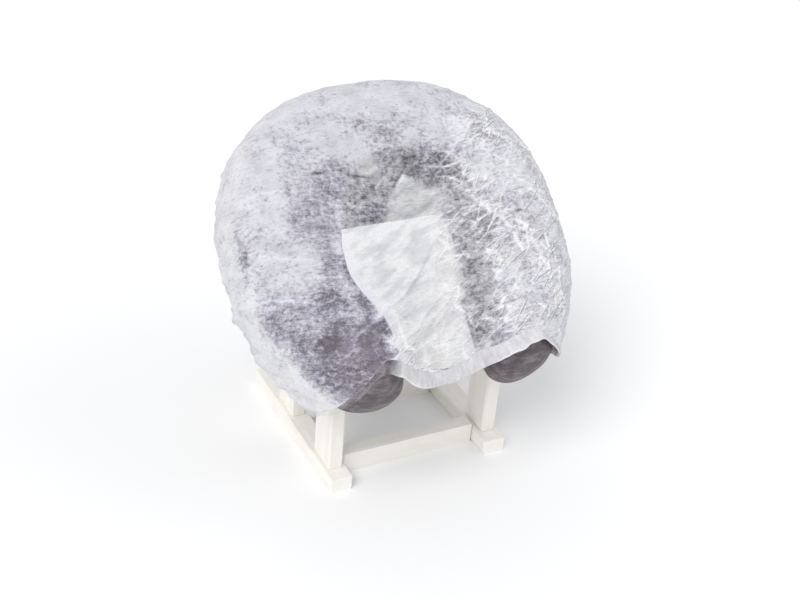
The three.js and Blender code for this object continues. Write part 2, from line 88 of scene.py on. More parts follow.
# Main folds: both ends as shares of the half sizes, and a height as a share of FOLD_HEIGHT.
FOLDS = [
    (-0.6, -0.72, 0.14, -0.12, 0.95), (-0.42, -0.86, 0.24, -0.4, 1.0), (-0.2, -0.94, 0.36, -0.62, 0.8),
    (0.1, -0.3, 0.5, 0.1, 0.75), (0.3, -0.74, 0.64, -0.36, 0.7), (0.42, -0.24, 0.78, 0.12, 0.7),
    (0.3, 0.3, 0.64, 0.64, 0.7), (-0.86, -0.44, -0.4, -0.56, 0.8),
]
# Long fine creases: both ends in millimetres on the laid-out fabric, half width, height, and how white the
# crease is, or how dark where that is below 0. The white goes with raised creases and is partly the doubled
# fabric, partly a painted highlight; the dark goes with sunken creases and is a painted shade.
CREASES = [
    (-182, -50, -104, -68, 1.3, 1.2, 0.9), (-124, -70, -84, -64, 1.2, 0.8, 0.6),
    (-66, 49, -21, 34, 1.2, -0.6, -0.9), (-63, 15, -16, 6, 1.2, 0.8, 0.9),
    (-62, 13, -23, 36, 1.3, -0.7, -1.0), (-38, 81, -24, 87, 1.2, -0.6, -0.8),
    (-17, 24, 2, 42, 1.3, -0.7, -1.0), (-14, 23, 6, 42, 1.2, 0.9, 1.0), (-59, 12, -21, 34, 1.1, 0.7, 0.6),
    (-66, -42, -52, -43, 1.2, 0.5, 0.5), (-86, -132, -58, -123, 1.3, 1.0, 0.9),
    (23, 34, 74, 75, 1.3, 0.9, 0.7), (-93, 49, -67, 47, 1.2, -0.6, -0.8),
    (-177, 7, -87, -32, 1.2, 0.4, 0.4), (-95, -101, 13, -20, 1.6, 2.0, 0.9),
    (-69, -114, 7, -64, 1.6, 1.9, 0.9), (-62, -120, 19, -84, 1.5, 1.6, 0.8),
    (-150, 42, -96, 34, 1.1, 0.3, 0.35), (-140, -10, -80, -22, 1.1, -0.3, -0.3),
    (-120, -40, -70, -50, 1.1, 0.4, 0.5),
]
# Where the fabric lies closer on the dark cushion (above 0) or stands off it (below 0): centre as shares of
# the half sizes, two radii in millimetres, a turn in degrees and a strength.
PATCHES = [
    (-0.61, -0.02, 12, 63, -9, 0.5), (-0.71, 0.15, 12, 40, -9, 0.22), (-0.41, 0.25, 25, 26, -8, 0.4),
    (0.27, -0.5, 14, 24, -10, 0.28), (-0.82, -0.41, 48, 11, -11, 0.22), (-0.63, -0.45, 10, 12, -11, 0.3),
    (-0.52, -0.18, 7, 28, -10, 0.5), (-0.52, -0.36, 8, 15, -10, 0.5), (-0.48, -0.5, 10, 10, -11, 0.5),
    (-0.4, -0.66, 10, 10, -11, 0.5), (-0.22, 0.13, 13, 15, -9, 0.2), (-0.11, 0.31, 20, 32, -8, 0.3),
    (0.18, 0.28, 32, 21, -8, 0.7), (-0.73, 0.02, 10, 21, -9, 0.3), (-1.01, -0.15, 11, 44, -10, 0.22),
    (0.4, -0.13, 11, 38, -9, 0.18), (0.26, -0.12, 24, 47, -9, 0.4), (-0.89, -0.54, 63, 27, -11, 0.52),
    (-0.7, -0.86, 47, 39, -12, 0.88), (-0.51, -0.74, 13, 23, -11, 0.62), (-0.53, -0.99, 20, 16, -12, 0.35),
    (-1.07, -0.54, 24, 18, -11, 0.3), (-1.09, -0.13, 7, 53, -10, 0.8), (0.14, -0.65, 14, 47, -11, 0.34),
    (0.27, -0.79, 26, 23, -11, 0.3), (-0.65, -0.39, 17, 26, -10, 0.12), (0.57, -0.19, 29, 38, -9, 0.22),
    (0.53, 0.47, 9, 22, -7, 0.25), (-0.31, 0.04, 30, 9, -9, 0.45), (-0.35, -0.02, 24, 6, -9, 0.4),
    (-0.02, 0.55, 22, 13, -7, 0.25), (0.02, 0.36, 18, 15, -8, 0.25), (-0.01, 0.15, 9, 11, -9, -0.3),
    (-0.87, 0.24, 20, 45, -9, -0.12), (-0.34, 0.75, 54, 13, -7, -0.16), (0.09, 0.78, 36, 11, -7, -0.3),
]
# Where the crinkled side starts on the laid-out fabric, in millimetres: how far up, and how far to the right.
CRINKLED_FROM = [
    (-130, -60), (-106, -68), (-80, -49), (-50, -21), (-23, 4), (8, 14), (42, 8), (69, 43), (95, 76),
    (130, 115),
]


def middle_of(node, axis):
    low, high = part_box(node)
    return (low[axis] + high[axis]) / 2 / MM


# The middle of the cushion's flat back: over the middle of the plate, and a known way behind the front rail.
CENTRE = np.array(
    [middle_of("support_plate", 0), middle_of("front_rail", 1) + FRONT_POST_REACH, HEADREST_HEIGHT]
)


def column(rows, place):
    """A smooth function of the angle through one column of a table, with no overshoot between its rows."""
    at, value = np.array([(row[0], row[place]) for row in rows], float).T
    slope = np.diff(value) / np.diff(at)
    before, after = slope[:-1], slope[1:]
    same = before * after > 0
    tangent = np.zeros(len(value))
    tangent[1:-1][same] = 2 * before[same] * after[same] / (before[same] + after[same])

    def smooth(angle):
        clamped = np.clip(angle, at[0], at[-1])
        i = np.clip(np.searchsorted(at, clamped, side="right") - 1, 0, len(at) - 2)
        span, rise = at[i + 1] - at[i], value[i + 1] - value[i]
        t = (clamped - at[i]) / span
        cubic = tangent[i] + tangent[i + 1] - 2 * rise / span
        square = 3 * rise / span - 2 * tangent[i] - tangent[i + 1]
        return value[i] + span * t * (tangent[i] + t * (square + t * cubic))

    return smooth


outer_share, inner_left, inner_right = (column(OUTLINE, i) for i in (1, 2, 3))
slack_at, reach_at, dip_at, pleat_at = (column(COVER, i) for i in (1, 2, 3, 4))


def smoothstep(x, low, high):
    t = np.clip((x - low) / (high - low), 0, 1)
    return t * t * (3 - 2 * t)


def polar(angle, radius_x, radius_y):
    turn = np.radians(angle)
    return np.stack([radius_x * np.sin(turn), radius_y * np.cos(turn)], -1)


def outer_edge(angle):
    share = outer_share(np.abs(angle))
    return polar(angle, share * HALF_WIDTH, share * HALF_LENGTH)


def inner_edge(angle):
    share = np.where(angle < 0, inner_left(-angle), inner_right(angle))
    return polar(angle, share * HOLE_HALF_WIDTH, share * HOLE_HALF_LENGTH)


def crest(angle):
    inner = inner_edge(angle)
    middle = (inner + outer_edge(angle)) / 2
    return middle + (inner - middle) * CREST_SHIFT


def rounded(value, exponent):
    return np.sign(value) * np.abs(value) ** (2 / exponent)


def lerp(a, b, t):
    return a + (b - a) * t[..., None]


def fabric(angle, share):
    """The cover's inner side, at an angle and a share of the way from the front's middle to its opening."""
    angle, share = np.broadcast_arrays(angle, share)
    top, dip = THICKNESS + CLEARANCE, GAP_DIP * dip_at(angle)
    middle, edge = crest(angle), outer_edge(angle)
    outward = edge / np.linalg.norm(edge, axis=-1, keepdims=True)
    rim = edge + outward * (CLEARANCE + COVER_SLACK * slack_at(angle))[..., None]
    hem = edge - outward * BACK_WRAP
    q = np.clip(share / CREST_SHARE, 0, 1)
    over = np.pi / 2 * np.clip((SIDE_SHARE - share) / (SIDE_SHARE - CREST_SHARE), 0, 1)
    under = np.pi / 2 * np.clip((share - SIDE_SHARE) / (1 - SIDE_SHARE), 0, 1)
    sagging = top - HOLE_SAG * (1 - q * q) ** 2 - dip * q * q
    front = np.concatenate([middle * q[..., None], sagging[..., None]], -1)
    crown = (top - SIDE_HEIGHT - dip) * rounded(np.sin(over), CROWN_EXPONENT)
    side = np.concatenate(
        [lerp(middle, rim, rounded(np.cos(over), CROWN_EXPONENT)), (SIDE_HEIGHT + crown)[..., None]], -1
    )
    fall = (SIDE_HEIGHT + BACK_DROP) * rounded(np.sin(under), BACK_EXPONENT)
    back = np.concatenate(
        [lerp(hem, rim, rounded(np.cos(under), BACK_EXPONENT)), (SIDE_HEIGHT - fall)[..., None]], -1
    )
    share = share[..., None]
    return np.where(share <= CREST_SHARE, front, np.where(share <= SIDE_SHARE, side, back))


def to_world(points):
    """From the headrest's own millimetres to the frame's metres."""
    up = np.array([[1, 0, 0], [0, math.cos(SLOPE), math.sin(SLOPE)], [0, -math.sin(SLOPE), math.cos(SLOPE)]])
    return (CENTRE + points @ up) * MM


def lattice(ix, iy, seed):
    """A repeatable number from 0 to 1 for each whole-number point."""
    n = (ix * 374761393 + iy * 668265263 + seed * 974634777) & 0xFFFFFFFF
    n = ((n ^ (n >> 13)) * 1274126177) & 0xFFFFFFFF
    return ((n ^ (n >> 16)) & 0xFFFFFF) / 0xFFFFFF


def noise(x, y, seed):
    """Smooth noise, about -1 to 1."""
    ix, iy = np.floor(x).astype(np.int64), np.floor(y).astype(np.int64)
    fx, fy = x - ix, y - iy
    sx, sy = (f * f * f * (f * (6 * f - 15) + 10) for f in (fx, fy))

    def corner(dx, dy):
        turn = 2 * np.pi * lattice(ix + dx, iy + dy, seed)
        return np.cos(turn) * (fx - dx) + np.sin(turn) * (fy - dy)

    low = corner(0, 0) * (1 - sx) + corner(1, 0) * sx
    high = corner(0, 1) * (1 - sx) + corner(1, 1) * sx
    return 1.5 * (low * (1 - sy) + high * sy)


def fractal(x, y, octaves, seed):
    return sum(noise(x * 2**i, y * 2**i, seed + i) / 2**i for i in range(octaves))


def turned(x, y, degrees):
    turn = math.radians(degrees)
    return x * math.cos(turn) + y * math.sin(turn), y * math.cos(turn) - x * math.sin(turn)


def ridges(x, y, degrees, long, wide, seed, width=0.3):
    """Thin crooked ridges that run mostly one way, 0 to 1."""
    along, across = turned(x, y, degrees)
    across = across + 0.35 * wide * noise(along / (0.8 * long), across / (2 * wide), seed + 50)
    found = 1 - np.abs(noise(along / long, across / wide, seed)) / width
    return np.clip(found, 0, 1) ** 1.5


def line(x, y, crease):
    """One crease's share of its height at each point: thin at both ends, and a little bowed and crooked."""
    x0, y0, x1, y1, half = crease[:5]
    dx, dy = x1 - x0, y1 - y0
    length = math.hypot(dx, dy)
    t = ((x - x0) * dx + (y - y0) * dy) / length**2
    hump = np.sin(np.pi * np.clip(t, 0, 1))
    bow = 0.07 * length * hump * math.sin(x0 + y1)
    wander = 0.7 * noise(x / 7, y / 7, 91) + 1.2 * noise(x / 24, y / 24, 93)
    aside = ((x - x0) * dy - (y - y0) * dx) / length + bow + wander
    taper = np.clip(hump, 0, 1) ** 0.7
    return taper * np.exp(-np.abs(aside / half) ** 1.4)


def mesh_piece(name, points, faces):
    """A smooth-shaded mesh object from points in the headrest's millimetres."""
    data = bpy.data.meshes.new(name)
    data.from_pydata(to_world(points).tolist(), [], faces)
    data.validate()
    data.shade_smooth()
    piece = bpy.data.objects.new(name, data)
    bpy.context.scene.collection.objects.link(piece)
    return piece


def grid_faces(rows, columns, closed_rows=False, closed_columns=False):
    """The four corners of each face of a grid of points, which may close on itself."""
    i, j = np.meshgrid(
        np.arange(rows - (not closed_rows)), np.arange(columns - (not closed_columns)), indexing="ij"
    )
    i, j = i.ravel(), j.ravel()
    down, right = (i + 1) % rows, (j + 1) % columns
    corners = [i * columns + j, down * columns + j, down * columns + right, i * columns + right]
    return np.stack(corners, 1).tolist()


def store(piece, name, values):
    """A number or vector for each point, for the materials."""
    kind = "FLOAT" if values.ndim == 1 else "FLOAT_VECTOR"
    layer = piece.data.attributes.new(name, kind, "POINT")
    layer.data.foreach_set("value" if values.ndim == 1 else "vector", values.astype(np.float32).ravel())


def normals_of(points):
    """Unit normals of a grid of points."""
    rows, columns = np.gradient(points, axis=0), np.gradient(points, axis=1)
    normal = np.cross(rows, columns)
    return normal / np.maximum(np.linalg.norm(normal, axis=-1, keepdims=True), 1e-9)


# Materials


class Nodes:
    """A material's node tree with short names for what the materials here use."""

    def __init__(self, name):
        self.material = bpy.data.materials.new(name)
        self.material.use_nodes = True
        self.tree = self.material.node_tree
        self.shader = self.tree.nodes["Principled BSDF"]

    def add(self, kind, inputs=(), **settings):
        node = self.tree.nodes.new(kind)
        for key, value in settings.items():
            setattr(node, key, value)
        for key, value in dict(inputs).items():
            self.put(node.inputs[key], value)
        return node

    def put(self, socket, value):
        if isinstance(value, bpy.types.NodeSocket):
            self.tree.links.new(value, socket)
        else:
            socket.default_value = value

    def set(self, **inputs):
        for key, value in inputs.items():
            self.put(self.shader.inputs[key.replace("_", " ")], value)

    def attribute(self, name, output="Fac"):
        return self.add("ShaderNodeAttribute", attribute_name=name).outputs[output]

    def place(self):
        return self.add("ShaderNodeTexCoord").outputs["Object"]

    def scaled(self, vector, scale, turn=0.0):
        inputs = {"Vector": vector, "Scale": scale, "Rotation": (0, 0, math.radians(turn))}
        return self.add("ShaderNodeMapping", inputs, vector_type="TEXTURE").outputs[0]

    def noise(self, vector, scale=1.0, detail=2.0, roughness=0.5, distortion=0.0):
        inputs = {"Vector": vector, "Scale": scale, "Detail": detail}
        inputs |= {"Roughness": roughness, "Distortion": distortion}
        return self.add("ShaderNodeTexNoise", inputs).outputs["Fac"]

    def math(self, operation, a, b=0.0, clamp=False):
        node = self.add("ShaderNodeMath", operation=operation, use_clamp=clamp)
        self.put(node.inputs[0], a)
        self.put(node.inputs[1], b)
        return node.outputs[0]

    def centred(self, value):
        return self.math("SUBTRACT", value, 0.5)

    def total(self, *terms):
        """The sum of values, each times its own number."""
        found = None
        for value, share in terms:
            node = self.add("ShaderNodeMath", operation="MULTIPLY_ADD")
            self.put(node.inputs[0], value)
            self.put(node.inputs[1], share)
            self.put(node.inputs[2], 0.0 if found is None else found)
            found = node.outputs[0]
        return found

    def bent(self, vector, scale, amount):
        """The same place moved a little by a noise, which bends whatever pattern is drawn with it."""
        inputs = {"Vector": vector, "Scale": scale, "Detail": 1.0}
        found = self.add("ShaderNodeTexNoise", inputs).outputs["Color"]
        node = self.add("ShaderNodeVectorMath", operation="MULTIPLY_ADD")
        self.put(node.inputs[0], found)
        self.put(node.inputs[1], (amount, amount, 0))
        self.put(node.inputs[2], vector)
        return node.outputs[0]

    def crumple(self, vector, size, turn, width, breaks):
        """Straight thin ridges that meet in corners, broken up where the other value is low."""
        inputs = {"Vector": self.scaled(vector, (*size, 1), turn), "Scale": 1.0, "Randomness": 1.0}
        cells = self.add("ShaderNodeTexVoronoi", inputs, voronoi_dimensions="2D", feature="DISTANCE_TO_EDGE")
        ridge = self.ramp(cells.outputs["Distance"], 0.0, width, 1.0, 0.0)
        return self.math("MULTIPLY", self.math("POWER", ridge, 1.5), self.ramp(breaks, 0.42, 0.56))

    def ramp(self, value, low, high, to_low=0.0, to_high=1.0):
        inputs = {"Value": value, "From Min": low, "From Max": high, "To Min": to_low, "To Max": to_high}
        return self.add("ShaderNodeMapRange", inputs).outputs[0]

    def mix(self, share, a, b):
        node = self.add("ShaderNodeMix", data_type="RGBA")
        self.put(node.inputs[0], share)
        self.put(node.inputs[6], a)
        self.put(node.inputs[7], b)
        return node.outputs[2]

    def bump(self, height, distance, strength=1.0):
        inputs = {"Height": height, "Distance": distance, "Strength": strength}
        self.put(self.shader.inputs["Normal"], self.add("ShaderNodeBump", inputs).outputs[0])


def fabric_crinkles(n, flat, curved):
    """Ridges and the valleys between them, where the piece's own "crinkle" value lets them show."""
    raised = n.total(
        (n.crumple(curved, (0.055, 0.0135), 27, 0.07, n.noise(flat, 22)), 1.5),
        (n.crumple(curved, (0.045, 0.0095), 7, 0.1, n.noise(flat, 28)), 1.1),
        (n.crumple(curved, (0.045, 0.012), 40, 0.08, n.noise(flat, 25, distortion=0.5)), 1.4),
        (n.crumple(flat, (0.02, 0.0055), 14, 0.12, n.noise(flat, 60)), 0.5),
    )
    valleys = n.crumple(curved, (0.03, 0.009), 19, 0.1, n.noise(flat, 60))
    shown = n.attribute("crinkle")
    return n.math("MULTIPLY", raised, shown), n.math("MULTIPLY", valleys, shown)


def fabric_material():
    """Thin nonwoven: pale and even where it stands off, with dark specks where it lies on something dark."""
    n = Nodes("nonwoven_fabric")
    flat = n.attribute("flat", "Vector")
    curved = n.bent(flat, 22, 0.006)
    streak = n.noise(n.scaled(flat, (0.022, 0.0013, 1), -9), detail=3, roughness=0.65)
    thread = n.noise(n.scaled(flat, (0.011, 0.0009, 1), -9), detail=3, roughness=0.7)
    blotch = n.noise(n.scaled(flat, (0.016, 0.013, 1), -9), detail=3, roughness=0.6)
    speck = n.noise(n.scaled(flat, (0.0044, 0.0036, 1), -9), detail=4, roughness=0.74)
    crepe = n.noise(n.scaled(curved, (0.03, 0.0034, 1), 7), detail=2, roughness=0.55)
    cross = n.noise(n.scaled(curved, (0.028, 0.0052, 1), 29), detail=2, roughness=0.55, distortion=0.3)
    soft = n.noise(n.scaled(curved, (0.034, 0.011, 1), 24), detail=2, roughness=0.5)
    speckle = n.noise(flat, 520, detail=2, roughness=0.7)
    cloud = n.noise(flat, 60, detail=3)
    crinkle, valley = fabric_crinkles(n, flat, curved)
    crinkled, folds = n.attribute("crinkle"), n.attribute("folds")

    touch = n.total(
        (n.attribute("thin"), 1.0), (n.centred(blotch), 1.0), (n.centred(speck), 3.0),
        (n.centred(streak), 1.1), (n.centred(thread), 1.2), (n.centred(speckle), 0.8),
    )
    touch = n.ramp(touch, 0.08, 1.3)
    # The crinkle ridges and the raised creases make the fabric more opaque, so whiter over the dark cushion,
    # partly from the doubled fabric and partly as painted highlight; the valleys and sunken creases make it
    # more see-through, so darker, as painted shade.
    alpha = n.total(
        (n.attribute("opacity"), 1.0), (touch, -0.76), (n.attribute("crease"), 1.0), (crinkle, 0.55),
        (n.centred(streak), 0.45), (n.centred(thread), 0.4), (n.centred(speckle), 0.25),
        (n.centred(cloud), 0.5), (valley, -0.12),
        (n.math("MULTIPLY", n.centred(crepe), crinkled), 0.7),
        (n.math("MULTIPLY", n.centred(cross), crinkled), 0.5),
    )
    alpha = n.math("MINIMUM", n.math("MAXIMUM", alpha, 0.08), 0.98)

    # Painted shade: the fabric hanging over the hole, and a little of the crinkled side, is darkened along
    # the low parts of the soft fold noise, for the shade in those folds.
    hanging = n.math("SUBTRACT", folds, crinkled, clamp=True)
    painted_fold_shade = n.math("MULTIPLY", n.ramp(soft, 0.54, 0.38, 0.0, 0.9), hanging)
    tint = n.mix(n.attribute("backed"), (0.74, 0.745, 0.75, 1), (0.73, 0.73, 0.8, 1))
    tint = n.mix(n.ramp(speck, 0.45, 0.7, 0.0, 0.8), tint, (0.86, 0.86, 0.885, 1))
    tint = n.mix(n.ramp(touch, 0.0, 1.0, 0.0, 0.75), tint, (0.5, 0.465, 0.66, 1))
    tint = n.mix(painted_fold_shade, tint, (0.5, 0.5, 0.54, 1))
    # Whiter along the crinkle ridges: partly the doubled fabric there, partly a painted highlight.
    tint = n.mix(n.math("MULTIPLY", crinkle, 1.2, clamp=True), tint, (0.93, 0.93, 0.95, 1))
    n.set(Base_Color=tint, Roughness=0.82, Alpha=alpha, Specular_IOR_Level=0.25, Sheen_Weight=0.1)

    waves = n.total((soft, 3.6), (crepe, 1.0), (cross, 1.1))
    height = n.total(
        (crinkle, 0.65), (valley, -0.3), (n.math("MULTIPLY", waves, folds), 1.0),
        (streak, 0.3), (thread, 0.35), (speckle, 0.12),
    )
    n.bump(height, 0.0015, 1.0)
    return n.material


def vinyl_material():
    n = Nodes("cushion_vinyl")
    place = n.place()
    pores = n.add("ShaderNodeTexVoronoi", {"Vector": place, "Scale": 620.0}, feature="F1").outputs["Distance"]
    cloud = n.noise(place, 22, detail=3)
    grain = n.noise(place, 900, detail=3, roughness=0.7)
    colour = n.mix(n.ramp(cloud, 0.3, 0.7), (0.072, 0.058, 0.068, 1), (0.12, 0.098, 0.108, 1))
    colour = n.mix(n.ramp(pores, 0.0, 0.35, 0.35, 0.0), colour, (0.045, 0.038, 0.045, 1))
    dust = n.noise(n.scaled(place, (2.5, 1, 1)), 160, detail=6, roughness=0.75)
    colour = n.mix(n.ramp(dust, 0.46, 0.72, 0.0, 0.7), colour, (0.36, 0.32, 0.34, 1))
    n.set(Base_Color=colour, Roughness=n.ramp(grain, 0.3, 0.7, 0.42, 0.6), Specular_IOR_Level=0.4)
    n.bump(n.math("ADD", pores, n.math("MULTIPLY", grain, 0.6)), 0.0004, 0.7)
    return n.material


def hem_material():
    n = Nodes("elastic_hem")
    flat = n.attribute("flat", "Vector")
    pucker = n.noise(n.scaled(n.bent(flat, 90, 0.004), (0.0035, 0.009, 1)), detail=3, roughness=0.6)
    speckle = n.noise(flat, 600, detail=3, roughness=0.7)
    cloud = n.noise(flat, 70, detail=4)
    tone = n.total((pucker, 0.4), (speckle, 0.25), (cloud, 0.35))
    colour = n.mix(n.ramp(tone, 0.38, 0.62), (0.64, 0.625, 0.66, 1), (0.73, 0.725, 0.74, 1))
    # Painted highlight along the hem's rolled outer edge, from the rim value, which also makes that edge more
    # opaque.
    colour = n.mix(n.attribute("rim"), colour, (0.86, 0.86, 0.87, 1))
    alpha = n.total((n.attribute("opacity"), 1.0), (n.centred(tone), 0.9), (n.attribute("rim"), 0.35))
    n.set(Base_Color=colour, Roughness=0.85, Specular_IOR_Level=0.25, Sheen_Weight=0.1,
          Alpha=n.math("MINIMUM", n.math("MAXIMUM", alpha, 0.03), 0.97))
    n.bump(tone, 0.0011, 0.7)
    return n.material


def plate_material():
    n = Nodes("plate_cloth")
    place = n.place()
    loops = n.noise(place, 900, detail=4, roughness=0.75)
    cloud = n.noise(place, 40, detail=4)
    colour = n.mix(n.ramp(cloud, 0.3, 0.7), (0.035, 0.032, 0.04, 1), (0.07, 0.062, 0.075, 1))
    colour = n.mix(n.ramp(loops, 0.45, 0.7), colour, (0.12, 0.11, 0.13, 1))
    n.set(Base_Color=colour, Roughness=0.95, Specular_IOR_Level=0.15, Sheen_Weight=0.25)
    n.bump(loops, 0.001, 0.9)
    return n.material


def wood_material(name, long_axis):
    """Cream paint over wood, its grain along one axis, rubbed thinner in places."""
    n = Nodes(name)
    place = n.place()
    scale = [0.006, 0.006, 0.006]
    scale[long_axis] = 0.09
    grain = n.noise(n.scaled(place, tuple(scale)), detail=5, roughness=0.6, distortion=0.4)
    cloud = n.noise(place, 30, detail=4, roughness=0.6)
    specks = n.noise(place, 700, detail=2)
    colour = n.mix(n.ramp(grain, 0.35, 0.7), (0.9, 0.87, 0.8, 1), (0.96, 0.945, 0.91, 1))
    colour = n.mix(n.ramp(cloud, 0.55, 0.75, 0.0, 0.35), colour, (0.84, 0.79, 0.7, 1))
    n.set(Base_Color=colour, Roughness=n.ramp(grain, 0.3, 0.7, 0.38, 0.55), Specular_IOR_Level=0.4)
    n.bump(n.math("ADD", grain, n.math("MULTIPLY", specks, 0.15)), 0.0006, 0.5)
    return n.material


# Cushion

CUSHION_ROUND, CUSHION_ALONG, CUSHION_TIP = 56, 150, 14
# The cushion starts this much inside the CAD form and swells back, by no more than CUSHION_MOST at any point.
CUSHION_INSET, CUSHION_MOST = 1.2, 1.6
SWELL_STEPS, SWELL_PRESSURE, SWELL_STRETCH, SWELL_BEND = 20, 4, 30, 2


def cushion_points():
    """Rings of points round the horseshoe, closing in at both lobes' ends."""
    left, right = LEFT_LOBE_END - LOBE_ROUNDING, RIGHT_LOBE_END - LOBE_ROUNDING
    turn = np.pi / 2 * np.arange(1, CUSHION_TIP + 1) / (CUSHION_TIP + 1)
    beyond, tip_scale = LOBE_ROUNDING * np.cos(turn), np.sin(turn)
    body = np.linspace(-left, right, CUSHION_ALONG + 1)
    angle = np.concatenate([-left - beyond, body, right + beyond[::-1]])
    scale = np.concatenate([tip_scale, np.ones(CUSHION_ALONG + 1), tip_scale[::-1]])
    angle, scale = angle[:, None], scale[:, None]
    beta = 2 * np.pi * np.arange(CUSHION_ROUND)[None, :] / CUSHION_ROUND
    middle, edge = (inner_edge(angle) + outer_edge(angle)) / 2, outer_edge(angle)
    front = np.sin(beta) > 0
    exponent = np.where(front, CROWN_EXPONENT, BACK_EXPONENT)
    height = np.where(front, THICKNESS - SIDE_HEIGHT, SIDE_HEIGHT)
    lean = np.where(front, CREST_SHIFT * np.sin(beta) ** 2, 0)
    flat = middle + (edge - middle) * ((rounded(np.cos(beta), exponent) - lean) * scale)[..., None]
    up = SIDE_HEIGHT + rounded(np.sin(beta), exponent) * height * scale
    return np.concatenate([flat, up[..., None]], -1)


def make_cushion():
    points = cushion_points()
    rows = len(points)
    faces = grid_faces(rows, CUSHION_ROUND, closed_columns=True)
    ends = []
    for row, end in ((0, -LEFT_LOBE_END), (rows - 1, RIGHT_LOBE_END)):
        between = (inner_edge(np.array(end)) + outer_edge(np.array(end))) / 2
        ends.append([*between, SIDE_HEIGHT])
        tip, start = rows * CUSHION_ROUND + len(ends) - 1, row * CUSHION_ROUND
        for j in range(CUSHION_ROUND):
            fan = [start + j, start + (j + 1) % CUSHION_ROUND, tip]
            faces.append(fan if row == 0 else fan[::-1])
    flat = np.concatenate([points.reshape(-1, 3), np.array(ends)])
    cushion = mesh_piece("cushion_pad", flat, faces)
    bpy.context.view_layer.update()
    middle = Vector(to_world(np.zeros(3)))
    if sum(p.area * p.normal.dot(p.center - middle) for p in cushion.data.polygons) < 0:
        cushion.data.flip_normals()
    return cushion


def mesh_points(piece):
    co = np.zeros(len(piece.data.vertices) * 3)
    piece.data.vertices.foreach_get("co", co)
    return co.reshape(-1, 3)


def vertex_normals(piece):
    normal = np.zeros(len(piece.data.vertices) * 3)
    piece.data.vertices.foreach_get("normal", normal)
    return normal.reshape(-1, 3)


def inflate(piece):
    """Lets the piece swell under pressure as a filled cover does, and keeps the result in its mesh."""
    scene = bpy.context.scene
    start = mesh_points(piece)
    inset = start - vertex_normals(piece) * CUSHION_INSET * MM
    piece.data.vertices.foreach_set("co", inset.ravel())
    piece.data.update()
    cloth = piece.modifiers.new("swell", "CLOTH")
    cloth.settings.use_pressure = True
    cloth.settings.uniform_pressure_force = SWELL_PRESSURE
    cloth.settings.tension_stiffness = cloth.settings.compression_stiffness = SWELL_STRETCH
    cloth.settings.bending_stiffness = SWELL_BEND
    cloth.settings.effector_weights.gravity = 0
    cloth.point_cache.frame_start, cloth.point_cache.frame_end = 1, SWELL_STEPS
    for step in range(1, SWELL_STEPS + 1):
        scene.frame_set(step)
    swollen = piece.evaluated_get(bpy.context.evaluated_depsgraph_get())
    end = np.zeros(len(start) * 3)
    swollen.data.vertices.foreach_get("co", end)
    piece.modifiers.remove(cloth)
    scene.frame_set(1)
    move = end.reshape(-1, 3) - inset
    far = np.linalg.norm(move, axis=1, keepdims=True)
    move *= np.minimum(1, CUSHION_MOST * MM / np.maximum(far, 1e-9))
    piece.data.vertices.foreach_set("co", (inset + move).ravel())
    piece.data.update()


cushion = make_cushion()
inflate(cushion)
cushion.data.materials.append(vinyl_material())
finer = cushion.modifiers.new("finer", "SUBSURF")
finer.levels = finer.render_levels = 1

# Cover

COVER_GRID = 300
TABLE_ANGLES = np.linspace(-180, 180, 721)
# The fabric's outer face stands SKIN off its inner side. The heights are those of the fine relief on it.
SKIN, FINE_PLEAT_HEIGHT, SLACK_HEIGHT, RIDGE_HEIGHT = 0.9, 1.2, 3.2, 0.35
# The short creases lie on the laid-out fabric in this field, right of an edge that leans and varies.
CRINKLES, CRINKLE_SEED = 230, 7
CRINKLE_ACROSS, CRINKLE_ALONG, CRINKLE_EDGE, CRINKLE_SPREAD = (-40, 195), (-175, 165), 35, 25


def ring_tables(count):
    """The share and the arc length at each ring of the cover's grid, for each of TABLE_ANGLES."""
    part = np.linspace(0, 1, 1601)
    share = part[None, :] * reach_at(TABLE_ANGLES)[:, None]
    step = np.linalg.norm(np.diff(fabric(TABLE_ANGLES[:, None], share), axis=1), axis=-1)
    weight = step * np.where(share[:, 1:] < SIDE_SHARE, 1, 0.55)
    nothing = np.zeros((len(TABLE_ANGLES), 1))
    length = np.concatenate([nothing, np.cumsum(step, 1)], 1)
    place = np.concatenate([nothing, np.cumsum(weight, 1)], 1)
    ring = np.linspace(0, 1, count + 1)
    shares = [np.interp(ring, p / p[-1], values) for p, values in zip(place, share)]
    lengths = [np.interp(ring, p / p[-1], values) for p, values in zip(place, length)]
    return np.array(shares), np.array(lengths)


def cover_grid(count):
    """Angle, ring number and direction of each point of a square grid wrapped onto a disc."""
    side = np.arange(-count, count + 1, 2) / count
    a, b = np.meshgrid(side, side, indexing="ij")
    wide = np.abs(a) >= np.abs(b)
    longer, shorter = np.where(wide, a, b), np.where(wide, b, a)
    turn = np.pi / 4 * shorter / np.where(longer == 0, 1, longer)
    x = np.where(wide, longer * np.cos(turn), longer * np.sin(turn))
    y = np.where(wide, longer * np.sin(turn), longer * np.cos(turn))
    angle = np.degrees(np.arctan2(x, y))
    ring = np.rint(np.abs(longer) * (count // 2)).astype(int)
    return angle, ring


def from_table(table, angle, ring):
    """A table's value at each point, between the two nearest of TABLE_ANGLES."""
    place = (angle + 180) / 360 * (len(TABLE_ANGLES) - 1)
    i = np.clip(place.astype(int), 0, len(TABLE_ANGLES) - 2)
    t = place - i
    return table[i, ring] * (1 - t) + table[i + 1, ring] * t


